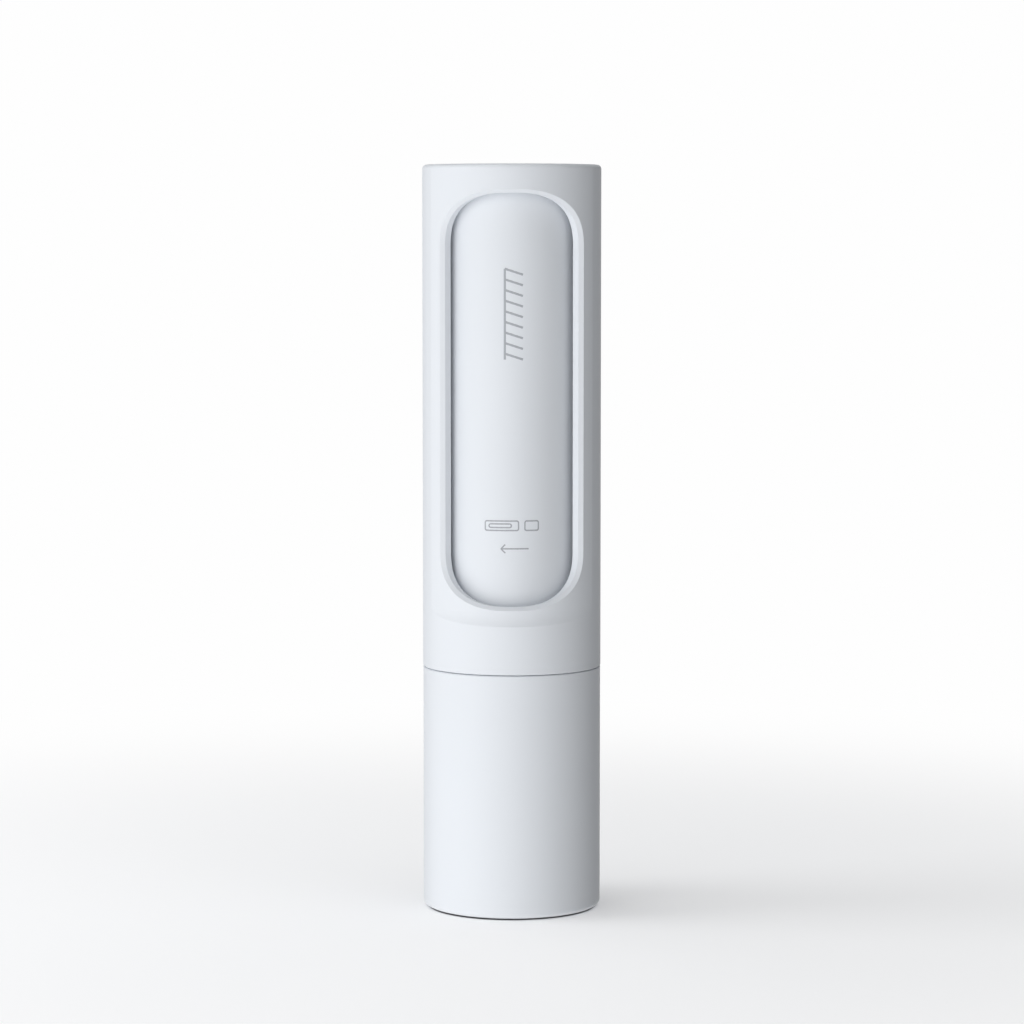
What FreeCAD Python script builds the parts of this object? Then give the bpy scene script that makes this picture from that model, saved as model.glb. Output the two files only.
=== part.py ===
import FreeCAD, Part
import math
import os
import re

import Sketcher

# Travel lint brush, standing upright on its grip. +Z is up, the origin is the centre of the foot,
# and the window in the case looks along -Y. Millimetres and degrees throughout.
# It is four bodies on one axis: the grip, the drum that plugs into the grip, the collar that turns
# on the drum's plug, and the window case that pushes over the collar.

# Alias, value, what it is
SIZES = [
    ("overall_height", 167.0, "foot to the top of the case"),
    ("case_radius", 20.0, "outside of the window case"),
    ("case_bottom", 54.74, "lower rim of the case"),
    ("case_bore", 17.4, "bore that the drum turns in"),
    ("collar_bore", 18.15, "wider bore that goes over the collar"),
    ("ledge_height", 65.25, "step between the two bores, resting over the collar"),
    ("case_edge", 0.95, "round along the top of the case"),
    ("seam_edge", 0.2, "bevel on both sides of the seam"),
    ("cap_seat", 165.0, "step that the top cap sits on"),
    ("cap_radius", 18.1, "top cap"),
    ("cap_sink", 0.25, "how far the cap sits below the rim"),
    ("cap_boss_radius", 7.5, "boss under the cap"),
    ("cap_boss_bottom", 163.7, "lower face of the boss"),
    ("bush_radius", 5.0, "outside of the spindle bush"),
    ("bush_top", 165.9, "closed end of the bush"),
    ("running_gap", 0.06, "radial clearance of every turning or sliding fit"),
    ("recess_depth", 0.7, "depth of the shallow front recess at its middle"),
    ("recess_shift", 1.33, "how far back the recess is centred"),
    ("recess_foot", 65.45, "where the recess has faded out to the full radius"),
    ("recess_cove", 7.2, "radius of the cove at the foot of the recess"),
    ("window_bottom", 69.7, "lower edge of the window's wall"),
    ("window_top", 160.66, "upper edge of the window's wall"),
    ("window_angle", 50.9, "half of the window's spread round the case"),
    ("window_bevel", 0.78, "bevel round the window"),
    ("window_crown", 12.2, "height of the curved ends of the window"),
    ("window_power", 2.65, "exponent of the superellipse at the window's ends"),
    ("wiper_angle", 57.6, "wiper strips, to each side of the window's middle"),
    ("wiper_spread", 3.8, "half of a strip's spread round the case"),
    ("wiper_inner", 17.35, "lip of a strip"),
    ("wiper_outer", 18.35, "floor of a strip's groove"),
    ("wiper_bottom", 72.0, "lower end of the strips"),
    ("wiper_top", 158.0, "upper end of the strips"),
    ("rib_inner", 17.3, "inner face of the case's driving ribs"),
    ("rib_bottom", 61.2, "lower end of the driving ribs"),
    ("rib_spread", 4.5, "half of a rib's spread"),
    ("rib_room", 0.15, "clearance behind a rib in the collar's slot"),
    ("rib_play", 0.5, "clearance to each side of a rib, in degrees"),
    ("collar_radius", 18.1, "outside of the swivel collar"),
    ("collar_bottom", 54.6, "lower face of the collar"),
    ("collar_top", 65.2, "upper face of the collar"),
    ("seal_section", 0.55, "section radius of both rubber rings"),
    ("seal_groove", 1.32, "width of the rings' grooves"),
    ("case_seal_height", 58.4, "rubber ring round the collar"),
    ("plug_seal_height", 45.5, "rubber ring round the plug"),
    ("lug_height", 0.7, "stop lug under the collar"),
    ("lug_inner", 15.9, "inner face of the stop lug"),
    ("lug_outer", 16.8, "outer face of the stop lug"),
    ("lug_spread", 5.0, "half of the lug's spread"),
    ("stop_clearance", 0.2, "clearance of the lug in its track"),
    ("washer_inner", 15.2, "slip washer"),
    ("washer_outer", 17.0, "slip washer"),
    ("washer_thickness", 0.6, "slip washer"),
    ("plug_radius", 15.0, "drive plug's tube"),
    ("plug_bore", 13.0, "lint passage down the plug"),
    ("plug_bottom", 41.5, "lower end of the plug"),
    ("flange_radius", 17.6, "flange that rests on the grip's socket"),
    ("flange_bottom", 53.1, "flange"),
    ("flange_top", 54.4, "flange"),
    ("hub_radius", 4.0, "hub in the middle of the plug"),
    ("hub_bottom", 60.0, "hub and its two spokes"),
    ("spoke_width", 2.4, "spokes of the hub"),
    ("key_radius", 15.9, "outside of the plug's driving keys"),
    ("key_bottom", 48.5, "lower end of the keys"),
    ("key_spread", 5.5, "half of a key's spread"),
    ("key_room", 0.3, "clearance under keys and ribs"),
    ("spring_height", 57.0, "lower edge of the click spring"),
    ("spring_tall", 3.0, "height of the click spring"),
    ("spring_radius", 14.25, "inside of the click spring"),
    ("spring_thick", 0.3, "click spring"),
    ("spring_spread", 13.0, "half of the spring's spread"),
    ("nose_centre", 14.7, "radius that the spring's nose is centred on"),
    ("nose_radius", 0.6, "nose of the click spring"),
    ("spring_room", 0.2, "clearance round the click spring"),
    ("drum_radius", 17.1, "the drum's two discs"),
    ("drum_bottom", 66.0, "lower disc of the drum"),
    ("drum_top", 163.3, "upper disc of the drum"),
    ("lower_disc", 2.3, "thickness of the lower disc"),
    ("upper_disc", 1.7, "thickness of the upper disc"),
    ("web_thickness", 2.4, "web between the two discs"),
    ("shell_gap", 0.1, "gap between a shell's end and the discs"),
    ("cover_outer", 16.0, "face of the blank cover, set back from the discs"),
    ("cover_inner", 14.4, "inside of the blank cover"),
    ("shell_spread", 62.0, "half of the spread of the cover and the brush plate"),
    ("cover_rib", 1.2, "thickness of the two ribs that hold the web"),
    ("cover_rib_depth", 2.8, "depth of those ribs"),
    ("small_edge", 0.3, "bevel on the small parts"),
    ("weld", 0.3, "how far a rib is sunk into the part that carries it"),
    ("cover_rib_inset", 6.0, "how far those ribs stop short of the cover's ends"),
    ("plate_outer", 15.2, "face of the brush plate"),
    ("plate_inner", 13.5, "back of the brush plate"),
    ("rail_outer", 15.7, "rails along both edges of the brush plate"),
    ("pad_spread", 52.0, "half of the spread of the brush pad"),
    ("pad_outer", 17.05, "tips of the brush pad's pile"),
    ("pad_margin", 0.9, "plate left bare at each end of the pad"),
    ("drop_radius", 12.6, "outer edge of the lint drop holes"),
    ("drop_wall", 2.0, "half of the bar left between the drop holes"),
    ("drop_hub", 4.8, "ring left round the hub between the drop holes"),
    ("boss_radius", 2.6, "bosses for the plate's screws"),
    ("boss_depth", 6.0, "inner end of those bosses"),
    ("plate_screw_radius", 1.25, "screws that hold the brush plate"),
    ("plate_screw_head", 2.1, "countersunk head"),
    ("plate_screw_tip", 7.0, "inner end of the screws"),
    ("plate_screw_face", 15.0, "outer face of the heads"),
    ("plate_screw_first", 85.0, "height of the first screw"),
    ("plate_screw_pitch", 30.0, "distance from one screw to the next"),
    ("hub_screw_radius", 1.5, "machine screw in the hub"),
    ("hub_screw_head", 2.75, "its head"),
    ("hub_screw_head_tall", 2.3, "its head"),
    ("cross_length", 3.0, "cross in the screw's head"),
    ("cross_width", 0.66, "cross in the screw's head"),
    ("hub_screw_top", 76.0, "its end"),
    ("hub_boss_top", 79.0, "boss for the hub screw in the drum"),
    ("spindle_radius", 3.0, "steel spindle in the top of the drum"),
    ("spindle_bottom", 155.0, "lower end of the spindle"),
    ("spindle_top", 165.7, "upper end of the spindle"),
    ("spindle_boss", 5.2, "boss round the spindle"),
    ("spindle_boss_bottom", 152.5, "lower end of that boss"),
    ("grip_radius", 19.94, "outside of the grip"),
    ("grip_bore", 18.2, "inside of the grip"),
    ("grip_bottom", 0.3, "lower end of the grip, clear of the table"),
    ("grip_top", 54.56, "upper end of the grip"),
    ("grip_round", 1.2, "rounding of the grip's lower edge"),
    ("base_radius", 18.15, "base cap, pressed into the grip"),
    ("base_floor", 2.6, "floor of the lint bin"),
    ("base_skirt", 7.0, "upper end of the base cap's skirt"),
    ("base_skirt_bore", 16.7, "inside of the skirt"),
    ("pad_seat", 1.0, "ceiling of the foot pad's seat"),
    ("foot_radius", 16.4, "foot pad"),
    ("tread_radius", 9.6, "first ring groove in the foot pad"),
    ("tread_pitch", 2.4, "from one groove to the next"),
    ("tread_width", 0.8, "width of a groove"),
    ("tread_depth", 0.3, "depth of a groove"),
    ("socket_radius", 18.15, "socket ring, bonded into the grip"),
    ("socket_bottom", 40.0, "lower end of the socket ring"),
    ("socket_top", 53.0, "upper end of the socket ring"),
    ("slot_radius", 16.0, "floor of the key slots"),
    ("slot_spread", 6.0, "half of a key slot's spread"),
]

FRONT, BACK, RIGHT, LEFT = -90.0, 90.0, 0.0, 180.0
KEYS = 3
PLATE_SCREWS = 3
TREADS = 3
ARCH_STEPS = 24
OVERRUN = 2.0

doc = FreeCAD.newDocument("LintBrush")
sheet = doc.addObject("Spreadsheet::Sheet", "Sizes")
size = {}
for row, (alias, value, meaning) in enumerate(SIZES, 1):
    sheet.set(f"A{row}", meaning)
    sheet.set(f"B{row}", str(value))
    sheet.setAlias(f"B{row}", alias)
    size[alias] = value
doc.recompute()

parts = []


def bind(thing, path, formula):
    """Bind a property to a formula in which each word is the alias of a size."""
    thing.setExpression(path, re.sub(r"[a-z][a-z_]+", lambda word: "Sizes." + word.group(), formula))


def keep(node):
    """Mark an object as a finished sub-part; its label names its file."""
    parts.append(node)
    return node


def cylinder(name, radius, bottom, top):
    solid = doc.addObject("Part::Cylinder", name)
    bind(solid, "Radius", radius)
    bind(solid, "Height", f"{top} - ({bottom})")
    bind(solid, "Placement.Base.z", bottom)
    return solid


def block(name, low, high):
    """A box between two corners, each given as three formulas."""
    solid = doc.addObject("Part::Box", name)
    for side, axis, start, end in zip(("Length", "Width", "Height"), "xyz", low, high):
        bind(solid, side, f"{end} - ({start})")
        bind(solid, "Placement.Base." + axis, start)
    return solid


def cut(name, base, *tools):
    result = doc.addObject("Part::Cut", name)
    result.Base = base
    result.Tool = tools[0] if len(tools) == 1 else fuse(name + "_cutters", *tools)
    return result


def fuse(name, *solids):
    result = doc.addObject("Part::MultiFuse", name)
    result.Shapes = list(solids)
    result.Refine = True
    return result


def sector(name, outer, inner, bottom, top, middle, spread):
    """Part of a ring, reaching spread degrees to each side of its middle."""
    rim = cylinder(name + "_rim", outer, bottom, top)
    bind(rim, "Angle", f"2 * ({spread})")
    doc.recompute([rim])
    rim.Placement.Rotation = FreeCAD.Rotation(FreeCAD.Vector(0, 0, 1), middle - rim.Angle.Value / 2)
    core = cylinder(name + "_core", inner, bottom, top)
    return cut(name, rim, core)


def radial(name, radius, near, far, height):
    """A cylinder along +Y, from the distance near to the distance far, at one height."""
    solid = doc.addObject("Part::Cylinder", name)
    bind(solid, "Radius", radius)
    bind(solid, "Height", f"{far} - ({near})")
    solid.Placement.Rotation = FreeCAD.Rotation(FreeCAD.Vector(1, 0, 0), -90)
    bind(solid, "Placement.Base.y", near)
    bind(solid, "Placement.Base.z", height)
    return solid


def origin_plane(body, role):
    return next(plane for plane in body.Origin.OriginFeatures if plane.Role == role)


def outline_sketch(body, name, plane, corners):
    """A closed outline whose corners are tied to the sketch's origin by (across, up) formulas."""
    sketch = body.newObject("Sketcher::SketchObject", name)
    sketch.AttachmentSupport = [(origin_plane(body, plane), "")]
    sketch.MapMode = "FlatFace"
    count = len(corners)
    # The lines start round a circle, and the constraints then move every corner to its place
    turns = [k * math.tau / count for k in range(count)]
    start = [FreeCAD.Vector(40 + 9 * math.cos(turn), 90 + 9 * math.sin(turn), 0) for turn in turns]
    for k in range(count):
        sketch.addGeometry(Part.LineSegment(start[k], start[(k + 1) % count]), False)
    for k in range(count):
        sketch.addConstraint(Sketcher.Constraint("Coincident", k, 2, (k + 1) % count, 1))
    for k, corner in enumerate(corners):
        across, up = corner
        for kind, axis, formula, here in (("DistanceX", -2, across, start[k].x),
                                          ("DistanceY", -1, up, start[k].y)):
            if formula == "0":
                sketch.addConstraint(Sketcher.Constraint("PointOnObject", k, 1, axis))
            else:
                index = sketch.addConstraint(Sketcher.Constraint(kind, -1, 1, k, 1, here))
                bind(sketch, f"Constraints[{index}]", formula)
    return sketch


def turned(name, corners):
    """A body turned about Z from an outline of (radius, height) corners."""
    body = doc.addObject("PartDesign::Body", name)
    sketch = outline_sketch(body, name + "_outline", "XZ_Plane", corners)
    turn = body.newObject("PartDesign::Revolution", name + "_turn")
    turn.Profile = sketch
    turn.ReferenceAxis = (sketch, ["V_Axis"])
    turn.Angle = 360
    sketch.Visibility = False
    return body


def rounded(body, name, radius, height, beyond):
    """Fillet the edges of a turned body that run round it at a height, further out than a radius."""
    doc.recompute()
    tip = body.Tip
    edges = [f"Edge{k}" for k, edge in enumerate(tip.Shape.Edges, 1)
             if abs(edge.BoundBox.ZMin - height) < 0.01 and abs(edge.BoundBox.ZMax - height) < 0.01
             and math.hypot(edge.Vertexes[0].X, edge.Vertexes[0].Y) > beyond]
    fillet = body.newObject("PartDesign::Fillet", name)
    fillet.Base = (tip, edges)
    bind(fillet, "Radius", radius)
    body.Tip = fillet
    return fillet


# ---- Grip: the root body ----

def make_foot_pad():
    corners = [("0", "0")]
    for k in range(TREADS):
        middle = f"tread_radius + {k} * tread_pitch"
        corners += [(f"{middle} - tread_width / 2", "0"), (f"{middle} - tread_width / 2", "tread_depth"),
                    (f"{middle} + tread_width / 2", "tread_depth"), (f"{middle} + tread_width / 2", "0")]
    corners += [("foot_radius", "0"), ("foot_radius", "pad_seat"), ("0", "pad_seat")]
    return keep(turned("foot_pad", corners))


def make_grip_sleeve():
    sleeve = turned("grip_sleeve", [
        ("grip_bore", "grip_bottom"), ("grip_radius", "grip_bottom"),
        ("grip_radius", "grip_top - seam_edge"), ("grip_radius - seam_edge", "grip_top"),
        ("grip_bore", "grip_top")])
    rounded(sleeve, "grip_foot_round", "grip_round", size["grip_bottom"],
            size["grip_radius"] - size["grip_round"])
    return keep(sleeve)


def make_base_cap():
    return keep(turned("base_cap", [
        ("0", "pad_seat"), ("foot_radius + running_gap", "pad_seat"),
        ("foot_radius + running_gap", "grip_bottom"),
        ("base_radius", "grip_bottom"), ("base_radius", "base_skirt"), ("base_skirt_bore", "base_skirt"),
        ("base_skirt_bore", "base_floor"), ("0", "base_floor")]))


def make_socket_ring():
    ring = cut("socket_tube", cylinder("socket_outside", "socket_radius", "socket_bottom", "socket_top"),
               cylinder("socket_bore", "plug_radius + running_gap", "socket_bottom", "socket_top"))
    slots = [sector(f"key_slot_{k + 1}", "slot_radius", "plug_radius - 1", "key_bottom - key_room",
                    "socket_top", RIGHT + k * 360 / KEYS, "slot_spread") for k in range(KEYS)]
    return keep(cut("socket_ring", ring, *slots))


# ---- Drum ----

def make_drum_frame():
    web_low, web_high = "drum_bottom + lower_disc / 2", "drum_top - upper_disc / 2"
    lower = cylinder("drum_lower_disc", "drum_radius", "drum_bottom", "drum_bottom + lower_disc")
    upper = cylinder("drum_upper_disc", "drum_radius", "drum_top - upper_disc", "drum_top")
    web = block("drum_web", ("-web_thickness / 2", "-drum_radius", web_low),
                ("web_thickness / 2", "drum_radius", web_high))
    bosses = [radial(f"plate_boss_{k + 1}", "boss_radius", "boss_depth", "drum_radius",
                     f"plate_screw_first + {k} * plate_screw_pitch") for k in range(PLATE_SCREWS)]
    # One round trim, set forward, brings the web to the cover in front and to the brush plate behind
    trim = cylinder("drum_trim", "(cover_inner + plate_inner - shell_gap) / 2", web_low, web_high)
    bind(trim, "Placement.Base.y", "(plate_inner - cover_inner) / 2")
    inside = doc.addObject("Part::Common", "drum_inside")
    inside.Base = fuse("drum_web_and_bosses", web, *bosses)
    inside.Tool = trim
    hub = cylinder("drum_hub_boss", "hub_radius", "drum_bottom", "hub_boss_top")
    spindle_boss = cylinder("drum_spindle_boss", "spindle_boss", "spindle_boss_bottom", "drum_top")
    solid = fuse("drum_solid", lower, upper, inside, hub, spindle_boss)
    drop_disc = cylinder("drop_disc", "drop_radius", "drum_bottom - 1", "drum_bottom + lower_disc")
    drop = cut("drop_holes", drop_disc,
               block("drop_bar", ("-drop_wall", "-drum_radius", "drum_bottom - 1"),
                     ("drop_wall", "drum_radius", "drum_bottom + lower_disc")),
               cylinder("drop_ring", "drop_hub", "drum_bottom - 1", "drum_bottom + lower_disc"))
    hub_hole = cylinder("hub_screw_hole", "hub_screw_radius", "drum_bottom - 1", "hub_screw_top")
    spindle_hole = cylinder("spindle_hole", "spindle_radius", "spindle_bottom", "drum_top + 1")
    plate_holes = [radial(f"plate_hole_{k + 1}", "plate_screw_radius", "plate_screw_tip", "drum_radius",
                          f"plate_screw_first + {k} * plate_screw_pitch") for k in range(PLATE_SCREWS)]
    return keep(cut("drum_frame", solid, drop, hub_hole, spindle_hole, *plate_holes))


def make_blank_cover():
    low, high = "drum_bottom + lower_disc + shell_gap", "drum_top - upper_disc - shell_gap"
    shell = sector("cover_shell", "cover_outer", "cover_inner", low, high, FRONT, "shell_spread")
    ribs = []
    for side, near, far in (("right", "web_thickness / 2", "web_thickness / 2 + cover_rib"),
                            ("left", "-web_thickness / 2 - cover_rib", "-web_thickness / 2")):
        ribs.append(block(f"cover_rib_{side}",
                          (near, "-(cover_inner + cover_outer) / 2", low + " + cover_rib_inset"),
                          (far, "-cover_inner + cover_rib_depth", high + " - cover_rib_inset")))
    return keep(fuse("blank_cover", shell, *ribs))


def countersink(name, height):
    """The shape of one plate screw: a countersunk head and a shank along Y."""
    head = doc.addObject("Part::Cone", name + "_head")
    bind(head, "Radius1", "plate_screw_radius")
    bind(head, "Radius2", "plate_screw_head")
    bind(head, "Height", "plate_screw_head - plate_screw_radius")
    head.Placement.Rotation = FreeCAD.Rotation(FreeCAD.Vector(1, 0, 0), -90)
    bind(head, "Placement.Base.y", "plate_screw_face - plate_screw_head + plate_screw_radius")
    bind(head, "Placement.Base.z", height)
    shank = radial(name + "_shank", "plate_screw_radius", "plate_screw_tip",
                   "plate_screw_face - plate_screw_head + plate_screw_radius", height)
    return fuse(name, head, shank)


def make_brush_plate():
    low, high = "drum_bottom + lower_disc + shell_gap", "drum_top - upper_disc - shell_gap"
    shell = sector("plate_shell", "plate_outer", "plate_inner", low, high, BACK, "shell_spread")
    rail_middle = size["shell_spread"] / 2 + size["pad_spread"] / 2
    rails = [sector(f"plate_rail_{name}", "rail_outer", "plate_inner", low, high, BACK + side * rail_middle,
                    "(shell_spread - pad_spread) / 2") for name, side in (("right", -1), ("left", 1))]
    sinks = []
    for k in range(PLATE_SCREWS):
        height = f"plate_screw_first + {k} * plate_screw_pitch"
        sinks.append(countersink(f"plate_sink_{k + 1}", height))
        sinks.append(radial(f"plate_mouth_{k + 1}", "plate_screw_head", "plate_screw_face", "drum_radius",
                            height))
    return keep(cut("brush_plate", fuse("plate_blank", shell, *rails), *sinks))


def make_brush_pad():
    return keep(sector("brush_pad", "pad_outer", "plate_outer",
                       "drum_bottom + lower_disc + shell_gap + pad_margin",
                       "drum_top - upper_disc - shell_gap - pad_margin", BACK, "pad_spread"))


def make_plate_screws():
    group = doc.addObject("Part::Compound", "plate_screws")
    group.Links = [countersink(f"plate_screw_{k + 1}", f"plate_screw_first + {k} * plate_screw_pitch")
                   for k in range(PLATE_SCREWS)]
    return keep(group)


def make_drive_plug():
    groove = "plug_radius - 2 * seal_section"
    groove_bottom, groove_top = "plug_seal_height - seal_groove / 2", "plug_seal_height + seal_groove / 2"
    tube = turned("plug_tube", [
        ("plug_bore", "plug_bottom"), ("plug_radius - seam_edge", "plug_bottom"),
        ("plug_radius", "plug_bottom + seam_edge"),
        ("plug_radius", groove_bottom), (groove, groove_bottom),
        (groove, groove_top), ("plug_radius", groove_top),
        ("plug_radius", "flange_bottom"), ("flange_radius", "flange_bottom"),
        ("flange_radius", "flange_top"),
        ("plug_radius", "flange_top"), ("plug_radius", "drum_bottom"), ("plug_bore", "drum_bottom")])
    hub = cylinder("plug_hub", "hub_radius", "hub_bottom", "drum_bottom")
    spokes = block("plug_spokes", ("-spoke_width / 2", "-plug_bore - 0.5", "hub_bottom"),
                   ("spoke_width / 2", "plug_bore + 0.5", "drum_bottom"))
    keys = [sector(f"plug_key_{k + 1}", "key_radius", "plug_radius - 1", "key_bottom", "flange_bottom",
                   RIGHT + k * 360 / KEYS, "key_spread") for k in range(KEYS)]
    screw_hole = cylinder("plug_screw_hole", "hub_screw_radius + 0.1", "hub_bottom - 1", "drum_bottom + 1")
    # The stop lug starts at the right and its track runs half a turn forward from there to the left
    lug_reach = size["lug_spread"] + math.degrees(size["stop_clearance"] / size["lug_outer"])
    track = sector("stop_track", "lug_outer + stop_clearance", "lug_inner - stop_clearance",
                   "flange_top - lug_height", "flange_top + 1", FRONT, f"90 + {lug_reach:.4f}")
    pocket = sector("spring_pocket", "plug_radius + 1", "spring_radius", "spring_height - spring_room",
                    "spring_height + spring_tall + spring_room", BACK, "spring_spread + 1")
    return keep(cut("drive_plug", fuse("plug_solid", tube, hub, spokes, *keys), screw_hole, track, pocket))


def make_click_spring():
    leaf = sector("spring_leaf", "spring_radius + spring_thick", "spring_radius", "spring_height",
                  "spring_height + spring_tall", BACK, "spring_spread")
    nose = cylinder("spring_nose", "nose_radius", "spring_height", "spring_height + spring_tall")
    bind(nose, "Placement.Base.y", "nose_centre")
    hollow = cylinder("spring_hollow", "nose_radius - spring_thick", "spring_height",
                      "spring_height + spring_tall")
    bind(hollow, "Placement.Base.y", "nose_centre")
    back = cylinder("spring_back", "spring_radius", "spring_height", "spring_height + spring_tall")
    return keep(cut("click_spring", fuse("spring_solid", leaf, nose), hollow, back))


def make_hub_screw():
    head = cylinder("hub_screw_pan", "hub_screw_head", "hub_bottom - hub_screw_head_tall", "hub_bottom")
    shank = cylinder("hub_screw_shank", "hub_screw_radius", "hub_bottom", "hub_screw_top")
    cross = [block(f"hub_screw_cross_{k + 1}",
                   (f"-{wide}", f"-{deep}", "hub_bottom - hub_screw_head_tall - 1"),
                   (wide, deep, "hub_bottom - hub_screw_head_tall / 2"))
             for k, (wide, deep) in enumerate((("cross_length / 2", "cross_width / 2"),
                                               ("cross_width / 2", "cross_length / 2")))]
    return keep(cut("hub_screw", fuse("hub_screw_solid", head, shank), *cross))


def make_spindle_pin():
    pin = turned("spindle_pin", [
        ("0", "spindle_bottom"), ("spindle_radius", "spindle_bottom"),
        ("spindle_radius", "spindle_top - small_edge"), ("spindle_radius - small_edge", "spindle_top"),
        ("0", "spindle_top")])
    return keep(pin)


def rubber_ring(name, outer, height):
    """A rubber ring whose outside is at a radius, in a groove of its own depth."""
    ring = doc.addObject("Part::Torus", name)
    bind(ring, "Radius1", f"{outer} - seal_section")
    bind(ring, "Radius2", "seal_section")
    bind(ring, "Placement.Base.z", height)
    return keep(ring)


# ---- Collar ----

def make_swivel_collar():
    bore, groove = "plug_radius + running_gap", "collar_radius - 2 * seal_section"
    groove_bottom, groove_top = "case_seal_height - seal_groove / 2", "case_seal_height + seal_groove / 2"
    tube = turned("collar_tube", [
        (bore, "collar_bottom"), ("collar_radius", "collar_bottom"),
        ("collar_radius", groove_bottom), (groove, groove_bottom),
        (groove, groove_top), ("collar_radius", groove_top),
        ("collar_radius", "collar_top"), (bore, "collar_top")])
    lug = sector("stop_lug", "lug_outer", "lug_inner", "collar_bottom - lug_height", "collar_bottom + 1",
                 RIGHT, "lug_spread")
    slots = [sector(f"collar_slot_{k + 1}", "collar_radius + 1", "rib_inner - rib_room",
                    "rib_bottom - key_room", "collar_top + 1", middle, "rib_spread + rib_play")
             for k, middle in enumerate((RIGHT, LEFT))]
    notches = []
    for k, side in enumerate(("", "-")):
        notch = cylinder(f"click_notch_{k + 1}", "nose_radius + spring_room", "spring_height - 1",
                         "spring_height + spring_tall + 1")
        bind(notch, "Placement.Base.y", f"{side}nose_centre")
        notches.append(notch)
    return keep(cut("swivel_collar", fuse("collar_solid", tube, lug), *slots, *notches))


def make_slip_washer():
    top = "collar_top + washer_thickness"
    return keep(turned("slip_washer", [
        ("washer_inner", "collar_top"), ("washer_outer", "collar_top"), ("washer_outer", top),
        ("washer_inner", top)]))


# ---- Case ----

def recessed_radius(angle):
    """Radius of the outside of the case at an angle (in radians) from its front."""
    shift = size["recess_shift"]
    reach = size["case_radius"] - size["recess_depth"] + shift
    recessed = math.sqrt(reach ** 2 - (shift * math.sin(angle)) ** 2) - shift * math.cos(angle)
    return min(recessed, size["case_radius"])


def window_end(side):
    """Points along one curved end of the window: (angle, height) and the outward normal of each.

    side is 1 for the top, run right to left, and -1 for the bottom, left to right. Seen from the
    front, the outline of the wall's outer edge is a superellipse.
    """
    edge_radius = size["case_radius"] - size["window_bevel"]
    half_width = edge_radius * math.sin(math.radians(size["window_angle"]))
    crown, power = size["window_crown"], size["window_power"]
    root = (size["window_top"] if side > 0 else size["window_bottom"]) - side * crown
    points = []
    for k in range(ARCH_STEPS + 1):
        turn = math.pi * k / ARCH_STEPS
        across, rise = math.cos(turn), max(math.sin(turn), 0)
        angle = math.asin(math.copysign(half_width * abs(across) ** (2 / power), side * across) / edge_radius)
        height = root + side * crown * rise ** (2 / power)
        normal = FreeCAD.Vector(math.copysign(abs(across) ** (2 - 2 / power), side * across) * math.cos(angle)
                                / half_width, side * rise ** (2 - 2 / power) / crown, 0)
        points.append((angle, height, normal.normalize()))
    return points


def window_wire(place):
    """A closed wire round the window; place turns an angle, a height and a normal into a point."""
    ends = []
    for side in (1, -1):
        outline = window_end(side)
        # Every wire shares the wall's own spacing, so lofts between them stay true
        spacing = [0.0]
        for (angle, height, _), (next_angle, next_height, _) in zip(outline, outline[1:]):
            along = (next_angle - angle) * size["case_radius"]
            spacing.append(spacing[-1] + math.hypot(along, next_height - height))
        points = [place(*point) for point in outline]
        curve = Part.BSplineCurve()
        curve.interpolate(Points=points, Parameters=[step / spacing[-1] for step in spacing])
        ends.append((points[0], points[-1], curve.toShape()))
    (top_right, top_left, top), (bottom_left, bottom_right, bottom) = ends
    left = Part.LineSegment(top_left, bottom_left).toShape()
    right = Part.LineSegment(bottom_right, top_right).toShape()
    return Part.Wire([top, left, bottom, right])


def make_window_cutter():
    """The hole itself: its walls are radial, so its outline grows with the distance from the axis."""
    def section(distance):
        return window_wire(lambda angle, height, normal: FreeCAD.Vector(
            distance * math.tan(angle), -distance, height))

    cutter = doc.addObject("Part::Feature", "window_cutter")
    cutter.Shape = Part.makeLoft([section(6.0), section(size["case_radius"] + OVERRUN)], True, True)
    return cutter


def make_bevel_cutter():
    """A ring of triangular section that takes the bevel off the window's outer edge."""
    def section(rise, spread):
        def place(angle, height, normal):
            turned_angle = angle + spread * normal.x / recessed_radius(angle)
            radius = recessed_radius(turned_angle) + rise
            return FreeCAD.Vector(radius * math.sin(turned_angle), -radius * math.cos(turned_angle),
                                  height + spread * normal.y)
        return window_wire(place)

    bevel, spare = size["window_bevel"], 0.3
    cutter = doc.addObject("Part::Feature", "bevel_cutter")
    cutter.Shape = Part.makeLoft([section(-bevel - spare, -spare), section(spare, bevel + spare),
                                  section(spare, -spare)], True, True, True)
    return cutter


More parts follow.
